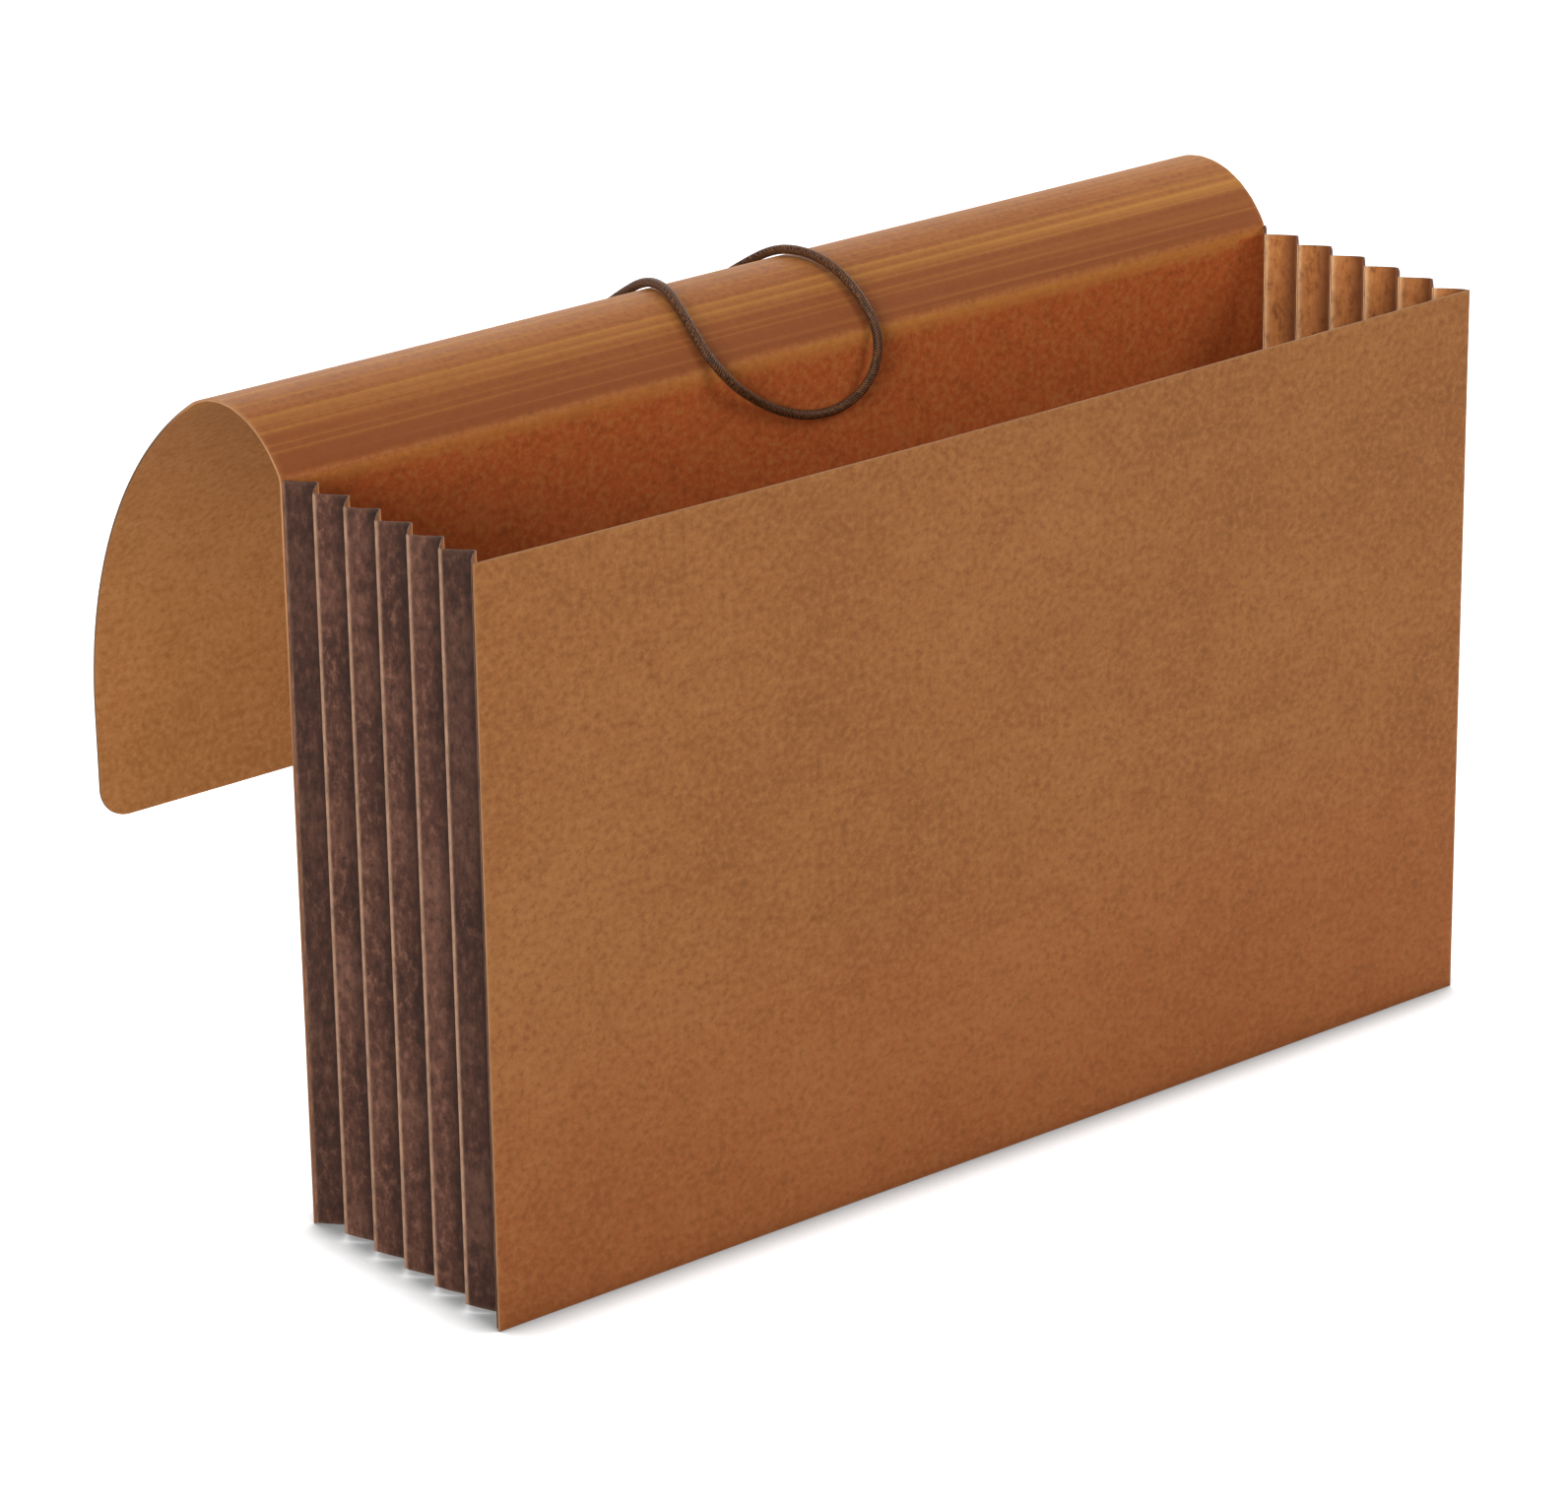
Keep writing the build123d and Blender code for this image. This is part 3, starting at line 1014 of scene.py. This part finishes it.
@dataclass
class Gusset:
    """One pleated wall: twelve panels between seven ridges."""

    wall: Wall
    palette: Palette
    panels: int = 12
    depth: float = 9.8 * MM
    thickness: float = 0.5 * MM
    lean: float = math.radians(42.0)
    first_fold: float = -7.9085 * MM
    ridge_x: float = 189.9 * MM
    ridge_z: float = 1.2 * MM
    belly: float = 0.35 * MM
    bead: float = 0.62 * MM
    bead_inset: float = 0.1 * MM
    bead_root: float = 0.12 * MM
    bead_turn: float = 80.0
    glued_turn: float = 6.0
    lift: float = 2.0 * MM
    pattern_pitch: float = 20.0 * MM
    step: float = 7.0 * MM
    tab_lines: int = 49
    tab_short: float = 3.0 * MM

    @property
    def half_pitch(self) -> float:
        """The distance from a ridge to the next valley."""
        return self.depth * math.cos(self.lean) + self.thickness * math.sin(self.lean)

    @property
    def valley(self) -> float:
        """The valleys' depth behind the ridges."""
        return self.depth * math.sin(self.lean) - self.thickness * math.cos(self.lean)

    @property
    def side(self) -> float:
        """The sign of x on the wall."""
        return -1.0 if self.wall is Wall.LEFT else 1.0

    def raised(self, ridge: int) -> float:
        """Give how far a ridge's foot is drawn up, which is none on the bottom wall or at the boards."""
        return self.lift if self.wall is not Wall.BOTTOM and 0 < ridge < self.panels // 2 else 0.0

    def run(self) -> tuple[float, float]:
        """Give the folds' two ends along the wall."""
        low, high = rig.box(f"{self.wall.value}_pleat_01")
        return (low.x, high.x) if self.wall is Wall.BOTTOM else (low.z, high.z)

    def stand(self, u: Array, v: Array, along: Array) -> Array:
        """Place points by distances in from the ridge line, forwards from the first fold, and along it."""
        upright = grid(self.side * (self.ridge_x - u), self.first_fold - v, along)
        return grid(along, self.first_fold - v, self.ridge_z + u) if self.wall is Wall.BOTTOM else upright

    def panel(self, index: int) -> Piece:
        """Make one panel between a ridge and a valley.

        Args:
            index: The panel's number from the back, from 0.

        Returns:
            The piece, riding on its own body.
        """
        low, high = self.run()
        along = graded(low, high, self.step, GUSSET_RIMS)[:, None]
        share = np.array([0.0, 0.04, 0.09, 0.16, 0.30, 0.46, 0.62, 0.78, 0.90, 1.0])
        inward = index % 2 == 0
        sine, cosine = math.sin(self.lean) * (1.0 if inward else -1.0), math.cos(self.lean)
        from_ridge = share if inward else 1.0 - share
        swell = self.belly * (0.6 + 0.4 * np.sin(along * 31.0 + index * 1.7)) * np.sin(math.pi * share)
        u = (0.0 if inward else self.valley) + share * self.depth * sine
        v = index * self.half_pitch + share * self.depth * cosine
        feet = along + self.raised((index + 1) // 2) * (1.0 - from_ridge) * (high - along) / (high - low)

        def shifted(distance: Array) -> Array:
            """Place the panel's line at a distance towards the outside."""
            return self.stand(u - distance * cosine, v + distance * sine, feet)

        inner = 0.0 if inward else -self.thickness
        face, back = shifted(inner + self.thickness + swell), shifted(inner + swell)
        place = grid(along, (index + 0.5) * self.pattern_pitch + from_ridge * self.depth)
        ridge_wear = 0.85 * (0.3 if index in (0, self.panels - 1) else 1.0)
        end_wear = 0.15 * rub(np.minimum(along - low, high - along), EDGE_WEAR)
        # Painted shade over the back-most panel and the second panel from the front.
        shade = 0.66 if index in (0, self.panels - 2) else 0.0
        # Painted shade that rises towards each valley, on both faces of the panel.
        values = {
            "wear": np.maximum(ridge_wear * rub(from_ridge * self.depth, 0.9 * MM), end_wear),
            "deep": np.maximum(from_ridge, shade),
        }
        back_values = {"wear": rub((1.0 - from_ridge) * self.depth, 2.0 * MM), "deep": 1.0 - from_ridge}
        name = f"{self.wall.value}_fold_panel_{index + 1:02d}"
        sheet = Sheet(name, face, back, place, values, back_values, bulge=0.1)
        sheet.lined = len(share) - 1 if inward else 0
        piece = sheet.build((self.palette.gusset, self.palette.lining, self.palette.gusset))
        node = f"{self.wall.value}_pleat_{index + 1:02d}"
        return seat(piece, Slot.GUSSET, node, node)

    def bead_points(self, ridge: int) -> tuple[Array, Array]:
        """Lay out the rounded outside of one ridge.

        Args:
            ridge: The ridge's number from the back, from 0.

        Returns:
            The grid of points round the bead, and the places along it.
        """
        low, high = self.run()
        foot, top = low + self.raised(ridge) + self.bead_inset, high - self.bead_inset
        along = graded(foot, top, self.step, GUSSET_RIMS)[:, None]
        first = -self.glued_turn if ridge == 0 else -self.bead_turn
        last = self.glued_turn if ridge == self.panels // 2 else self.bead_turn
        angles = np.radians(np.linspace(first, last, 9))
        u = np.append(-np.cos(angles) * self.bead, self.bead_root)
        v = np.append(np.sin(angles) * self.bead, 0.0) + ridge * 2.0 * self.half_pitch
        return self.stand(u, v, along), along

    def tab(self, end: str) -> Piece:
        """Press a glued tab onto a board, thinning out to its free edge.

        Args:
            end: The board it is glued to, back or front.

        Returns:
            The piece, riding on the board.
        """
        node = f"{self.wall.value}_tab_{end}"
        low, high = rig.box(node)
        share = np.array([0.0, 0.2, 0.4, 0.6, 0.72, 0.82, 0.91, 1.0])
        thick = (high.y - low.y) * (1.0 - 0.9 * smooth((share - 0.3) / 0.7))
        if self.wall is Wall.BOTTOM:
            x, z = np.linspace(low.x, high.x, self.tab_lines)[:, None], low.z + share * (high.z - low.z)
        else:
            start, stop = (high.x, low.x) if self.wall is Wall.RIGHT else (low.x, high.x)
            x = start + share * (stop - start)
            z = np.linspace(low.z, high.z - self.tab_short, self.tab_lines)[:, None]
        glued, way = (high.y, -1.0) if end == "back" else (low.y, 1.0)
        pattern = -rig.box("back_panel")[1].z if end == "back" else FRONT_PATTERN
        name = f"{self.wall.value}_glued_tab_{end}"
        face, back = grid(x, glued + way * thick, z), grid(x, glued, z)
        values = {"wear": 0.0, "score": 0.0, "deep": 1.0}
        sheet = Sheet(name, face, back, grid(x, z + pattern), values, bulge=0.0)
        return seat(sheet.build((self.palette.inside,) * 3), Slot.GUSSET, end, node)


@dataclass
class Gussets:
    """The three pleated walls, with the rounded ridges that join their panels."""

    palette: Palette
    ridges: int = 7

    def ridge(self, number: int, walls: Sequence[Gusset]) -> Piece:
        """Make one ridge on all three walls.

        Args:
            number: The ridge's number from the back, from 0.
            walls: The walls.

        Returns:
            The piece, riding on the ridge's body or on the board it is glued to.
        """
        points, faces, places = [], [], []
        base = 0
        for wall in walls:
            round_bead, along = wall.bead_points(number)
            rows, ring = round_bead.shape[:2]
            points.append(round_bead.reshape(-1, 3))
            faces += capped(rows, ring, base)
            places.append(grid(along, np.arange(ring) * 0.2 * MM + number * 30.0 * MM, 0.7).reshape(-1, 3))
            base += rows * ring
        label = {0: "back", self.ridges - 1: "front"}.get(number, f"{number:02d}")
        name = f"gusset_ridge_{label}"
        piece = new_mesh(name, np.concatenate(points), faces, (self.palette.gusset,), crease=TUBE_CREASE)
        store(piece, "sheet", np.concatenate(places))
        free = 0 < number < self.ridges - 1
        store(piece, "wear", np.full(base, 1.0 if free else 0.25))
        store(piece, "deep", np.zeros(base))
        node = f"gusset_fold_{label}"
        return seat(piece, Slot.GUSSET, node, node) if free else seat(piece, Slot.GUSSET, label)

    def build(self) -> list[Piece]:
        """Make all the panels, the ridges and the glued tabs.

        Returns:
            The pieces.
        """
        walls = [Gusset(wall, self.palette) for wall in Wall]
        pieces = [wall.panel(index) for wall in walls for index in range(wall.panels)]
        pieces += [self.ridge(number, walls) for number in range(self.ridges)]
        return pieces + [wall.tab(end) for wall in walls for end in ("back", "front")]


@dataclass
class ElasticCord:
    """The braided elastic: two legs up the flap from its eyelets, joined by a loop over the mouth."""

    board: BackBoard
    diameter: float = 3.0 * MM
    fineness: int = 40
    sides: int = 16
    strands: int = 6
    lay: float = 5.2 * MM
    relief: float = 0.05
    route: tuple[Triple, ...] = (
        (-0.034, 0.0995, 0.1208), (-0.034, 0.1046, 0.1208), (-0.0345, 0.107, 0.127),
        (-0.035, 0.107, 0.137), (-0.035, 0.103, 0.1555), (-0.035, 0.0965, 0.178),
        (-0.0346, 0.0865, 0.2005), (-0.0332, 0.0725, 0.2197), (-0.0309, 0.0579, 0.2345),
        (-0.0291, 0.0442, 0.2451), (-0.0292, 0.0312, 0.2526), (-0.0316, 0.018, 0.2537),
        (-0.0362, 0.0033, 0.249), (-0.0367, -0.0078, 0.2395), (-0.0309, -0.0123, 0.2306),
        (-0.0225, -0.0109, 0.224), (-0.0115, -0.0093, 0.2171), (0.0018, -0.0091, 0.2121),
        (0.0152, -0.0102, 0.2129), (0.0245, -0.0118, 0.2205), (0.0278, -0.0111, 0.2326),
        (0.0265, -0.0049, 0.243), (0.0251, 0.0059, 0.2508), (0.0239, 0.0186, 0.2537),
        (0.0215, 0.0318, 0.2524), (0.0181, 0.0442, 0.2449), (0.0138, 0.0578, 0.2347),
        (0.0097, 0.0723, 0.22), (0.0069, 0.0865, 0.2005), (0.0052, 0.0965, 0.178),
        (0.004, 0.103, 0.1555), (0.004, 0.107, 0.137), (0.004, 0.107, 0.127),
        (0.004, 0.1046, 0.1208), (0.004, 0.0995, 0.1208),
    )

    @property
    def line(self) -> Array:
        """Points along the route's smooth spline, from the left eyelet to the right."""
        data = bpy.data.curves.new("cord_line", "CURVE")
        data.dimensions = "3D"
        data.resolution_u = self.fineness
        spline = data.splines.new("NURBS")
        spline.points.add(len(self.route) - 1)
        for point, place in zip(spline.points, self.route):
            point.co = (*place, 1.0)
        spline.order_u = 3
        spline.use_endpoint_u = True
        guide = bpy.data.objects.new("cord_line", data)
        mesh = bpy.data.meshes.new_from_object(guide)
        points = np.array([v.co for v in mesh.vertices])
        bpy.data.meshes.remove(mesh)
        bpy.data.objects.remove(guide)
        bpy.data.curves.remove(data)
        return points

    def frames(self, points: Array) -> Array:
        """Carry a pair of cross directions along a line without twist.

        Args:
            points: The line's points.

        Returns:
            The two cross directions, each at every point.
        """
        along = unit(np.gradient(points, axis=0))
        first = np.cross(along[0], (1.0, 0.0, 0.0))
        across = []
        for way in along:
            first = unit(first - way * np.dot(first, way))
            across.append(first)
        return np.array([across, np.cross(along, across)])

    def tube(self, name: str, points: Array, frames: Array, start: float = 0.0) -> Piece:
        """Make a braided tube along a stretch of line.

        Args:
            name: The piece's name.
            points: The stretch's points.
            frames: The two cross directions at each point.
            start: The stretch's distance along the whole cord.

        Returns:
            The tube.
        """
        along = start + lengths_along(points)[:, None]
        angle = np.arange(self.sides) * 2.0 * math.pi / self.sides
        turn = 2.0 * math.pi * along / self.lay
        over = np.cos(self.strands / 2.0 * (angle + turn))
        under = np.cos(self.strands / 2.0 * (angle - turn))
        braid = np.where(over * under > 0.0, np.abs(over), np.abs(under))
        radius = self.diameter / 2.0 * (1.0 - self.relief + self.relief * braid)
        first, second = frames[:, :, None, :]
        ring = first * np.cos(angle)[:, None] + second * np.sin(angle)[:, None]
        skin = points[:, None, :] + ring * radius[:, :, None]
        faces = capped(*skin.shape[:2])
        piece = new_mesh(name, skin.reshape(-1, 3), faces, (self.board.palette.elastic,), crease=TUBE_CREASE)
        store(piece, "sheet", grid(along, skin[:, :, 0], skin[:, :, 2]).reshape(-1, 3))
        # The braid's relief, stored for the painted groove shade and crown highlight.
        store(piece, "wear", braid.ravel())
        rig.slot(piece, Slot.ELASTIC.value)
        return piece

    def build(self) -> list[Piece]:
        """Make the loop and the legs, each bending with the part of the sheet it lies on.

        Returns:
            The pieces.
        """
        points = self.line
        frames, along = self.frames(points), lengths_along(points)
        arcs = self.board.curve.arc_of(points[:, 1:])
        middles, scores = self.board.middles[:-1], self.board.scores
        half = int(np.argmin(arcs))
        left = [int(np.argmin(np.abs(arcs[:half] - m))) for m in middles] + [0]
        right = [half + int(np.argmin(np.abs(arcs[half:] - m))) for m in middles] + [len(points) - 1]
        spans = [("cord_loop", left[0], right[0], scores[0])]
        for n, score in enumerate(scores[1:], start=1):
            spans.append((f"cord_leg_left_{n:02d}", left[n], left[n - 1], score))
            spans.append((f"cord_leg_right_{n:02d}", right[n - 1], right[n], score))
        pieces = []
        for name, first, last, score in spans:
            cut = slice(first, last + 1)
            pieces.append(self.tube(name, points[cut], frames[:, cut], along[first]))
            self.board.bend(pieces[-1], score)
        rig.replaces(pieces[0], "elastic_cord")
        path = points[left[0] : right[0] + 1]
        length = float(along[right[0]] - along[left[0]])
        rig.cord(
            pieces[0], exit=tuple(path[0]), length=length, diameter=self.diameter, far_end="object",
            stiffness="limp", lay="loose", path=[tuple(p) for p in path], with_pieces=pieces[1:3],
        )
        LOG.info("cord: %.1f mm in all, loop %.1f mm", along[-1] / MM, length / MM)
        return pieces


@dataclass
class CordEnds:
    """The two eyelets in the hem and the knots that stop the cord behind them."""

    cord: ElasticCord
    bore: float = 3.6 * MM
    flange: float = 8.4 * MM
    lip: float = 0.5 * MM
    strand: float = 1.25 * MM
    knot_scale: float = 0.82 * MM
    knot_steps: int = 181
    segments: int = 40

    @property
    def centres(self) -> list[Triple]:
        """The eyelets' centres, from their node's box."""
        (x0, y0, z0), (x1, y1, z1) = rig.box("cord_eyelets")
        half = self.flange / 2.0
        return [(x, (y0 + y1) / 2.0, (z0 + z1) / 2.0) for x in (x0 + half, x1 - half)]

    def profile(self, half: float) -> Array:
        """Draw the eyelet's section: a barrel with a rolled flange at each end.

        Args:
            half: Half the eyelet's length.

        Returns:
            Rows of radius and distance along the bore.
        """
        bore, rim, roll = self.bore / 2.0, self.flange / 2.0, self.lip
        turn = np.linspace(0.0, math.pi / 2.0, 5)
        sine, cosine = np.sin(turn), np.cos(turn)
        mouth = np.column_stack([bore + roll * (1.0 - sine), half - roll * (1.0 - cosine)])[::-1]
        outer = np.column_stack([rim - roll + roll * sine, half - roll + roll * cosine])
        under = np.array([[rim - 0.1 * MM, half - roll - 0.02 * MM], [bore + 0.7 * MM, half - roll]])
        top = np.concatenate([mouth, outer, under])
        return np.concatenate([top, top[::-1] * np.array([1.0, -1.0])])

    def eyelets(self) -> Piece:
        """Make both eyelets.

        Returns:
            The piece, riding on the hem.
        """
        low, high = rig.box("cord_eyelets")
        radius, distance = self.profile((high.y - low.y) / 2.0).T
        angle = (np.arange(self.segments) * 2.0 * math.pi / self.segments)[:, None]
        points, faces = [], []
        for number, (x, y, z) in enumerate(self.centres):
            turned = grid(x + radius * np.cos(angle), y + distance, z + radius * np.sin(angle))
            points.append(turned.reshape(-1, 3))
            faces += quads(*turned.shape[:2], base=number * len(points[0]), closed=True, looped=True)
        brass = (self.cord.board.palette.brass,)
        piece = new_mesh("rolled_eyelets", np.concatenate(points), faces, brass, crease=50.0)
        return seat(piece, Slot.EYELET, "flap_hem", "cord_eyelets")

    def knots(self) -> list[Piece]:
        """Tie an overhand knot behind each eyelet.

        Returns:
            The knots, riding on the hem.
        """
        low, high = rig.box("cord_knots")
        tight = ElasticCord(self.cord.board, diameter=2.0 * self.strand, sides=12)
        turns = np.linspace(0.0, 2.0 * math.pi, self.knot_steps)
        k = self.knot_scale
        made = []
        for label, (x, _, z) in zip(("left", "right"), self.centres):
            loop = np.column_stack([
                x + k * (np.sin(turns) + 2.0 * np.sin(2.0 * turns)),
                (low.y + high.y) / 2.0 - 1.15 * k * np.sin(3.0 * turns),
                z + k * (np.cos(turns) - 2.0 * np.cos(2.0 * turns)),
            ])
            piece = tight.tube(f"cord_knot_{label}", loop, tight.frames(loop))
            nodes = ("cord_knots",) if label == "left" else ()
            made.append(seat(piece, Slot.ELASTIC, "flap_hem", *nodes))
        return made


@dataclass(frozen=True)
class Lamp:
    """A round soft lamp that faces the object: its place, its width and its power in watts."""

    name: str
    place: Triple
    size: float
    power: float
    target: Triple = (0.0, -0.02, 0.12)

    def hang(self) -> None:
        """Put the lamp into the scene."""
        data = bpy.data.lights.new(self.name, "AREA")
        data.shape, data.size, data.energy = "DISK", self.size, self.power
        lamp = bpy.data.objects.new(self.name, data)
        lamp.location = self.place
        lamp.rotation_mode = "QUATERNION"
        lamp.rotation_quaternion = (Vector(self.target) - Vector(self.place)).to_track_quat("-Z", "Y")
        bpy.context.scene.collection.objects.link(lamp)


@dataclass
class Studio:
    """The camera, a pale floor and plain soft light."""

    eye: Triple = (-1.11906, -1.40754, 0.81210)
    aim: Triple = (68.3745, 0.7882, -38.7173)
    lens: float = 142.515
    sensor: float = 36.0
    clip: Range = (0.05, 60.0)
    floor_half: float = 9.0
    floor_tone: float = 0.76
    floor_glow: float = 0.64
    shade_reach: float = 20.0 * MM
    air: float = 0.26
    lamps: tuple[Lamp, ...] = (
        Lamp("key_lamp", (0.85, -0.95, 1.2), 0.7, 9.5),
        Lamp("side_lamp", (-3.9, -2.0, 1.25), 2.6, 212.0),
        Lamp("top_lamp", (0.0, 0.5, 2.6), 1.4, 24.0),
        Lamp("back_lamp", (2.2, 4.4, 2.1), 3.2, 84.0),
        Lamp("right_lamp", (3.8, 0.8, 1.3), 2.4, 60.0),
    )

    def camera(self) -> None:
        """Set the camera at the photograph's viewpoint."""
        data = bpy.data.cameras.new("view")
        data.lens, data.sensor_width = self.lens, self.sensor
        data.clip_start, data.clip_end = self.clip
        camera = bpy.data.objects.new("view", data)
        camera.location = self.eye
        camera.rotation_euler = [math.radians(a) for a in self.aim]
        bpy.context.scene.collection.objects.link(camera)
        bpy.context.scene.camera = camera

    def seen(self, g: Graph) -> Socket:
        """Tell rays that show the background from rays that light the object.

        Args:
            g: The node tree to add to.

        Returns:
            1 for rays that see the background.
        """
        path = g.add("LightPath", {})
        total = path.outputs["Is Camera Ray"]
        for name in ("Is Glossy Ray", "Is Transmission Ray"):
            total = g.maths("MAXIMUM", total, path.outputs[name])
        return total

    def floor(self) -> None:
        """Lay a white floor that keeps a soft shadow."""
        g = Graph(bpy.data.materials.new("studio_floor"))
        # Painted contact shadow: the floor darkens where the object is near, besides the lamps' own shadows.
        near = g.add("AmbientOcclusion", {"Distance": self.shade_reach}, samples=16)
        open_share = g.span(near.outputs["AO"], (0.46, 0.90), (0.26, 1.0))
        tone = g.span(open_share, (0.0, 1.0), (0.0, self.floor_tone))
        glow = g.times(g.span(self.seen(g), (0.0, 1.0), (0.0, self.floor_glow)), open_share)
        diffuse = g.add("BsdfDiffuse", {"Color": tone})
        emission = g.add("Emission", {"Strength": glow})
        both = g.add("AddShader", {0: diffuse.outputs[0], 1: emission.outputs[0]})
        g.fill(g.tree.nodes["Material Output"], {"Surface": both.outputs[0]})
        corners = self.floor_half * np.array([(-1, -1, 0), (1, -1, 0), (1, 1, 0), (-1, 1, 0)])
        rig.stage(new_mesh("studio_floor", corners, [[0, 1, 2, 3]], (g.owner,)))

    def world(self) -> None:
        """Surround the object with even white light."""
        world = bpy.data.worlds.new("studio_air")
        bpy.context.scene.world = world
        g = Graph(world)
        strength = g.span(self.seen(g), (0.0, 1.0), (self.air, 1.0))
        g.fill(g.tree.nodes["Background"], {"Color": (1.0, 1.0, 1.0, 1.0), "Strength": strength})

    def build(self) -> None:
        """Set the camera, the floor and the light."""
        self.camera()
        self.floor()
        self.world()
        for lamp in self.lamps:
            lamp.hang()
        bpy.context.scene.view_settings.view_transform = "Standard"


def report(pieces: Iterable[Piece]) -> None:
    """Log each piece with its size and the body that carries it."""
    for piece in pieces:
        LOG.info("%s: %d vertices on %s", piece.name, len(piece.data.vertices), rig.body_of(piece))


def write_sizes() -> None:
    """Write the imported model's box and the dressed model's box."""
    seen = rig.bounds()
    boxes = {"cad": [list(CAD_BOX[0]), list(CAD_BOX[1])], "visual": [list(seen[0]), list(seen[1])]}
    with open(SIZE_FILE, "w", encoding="utf-8") as out:
        json.dump(boxes, out)


def main() -> None:
    """Build the studio and the wallet, piece by piece."""
    logging.basicConfig(level=logging.INFO, format="%(name)s: %(message)s")
    Studio().build()
    palette = Palette()
    back = BackBoard(palette)
    cord = ElasticCord(back)
    report(cord.build())
    report(back.build())
    report([FrontBoard(palette).build()])
    report(Gussets(palette).build())
    ends = CordEnds(cord)
    report([ends.eyelets(), *ends.knots()])
    write_sizes()


if __name__ == "__main__":
    main()
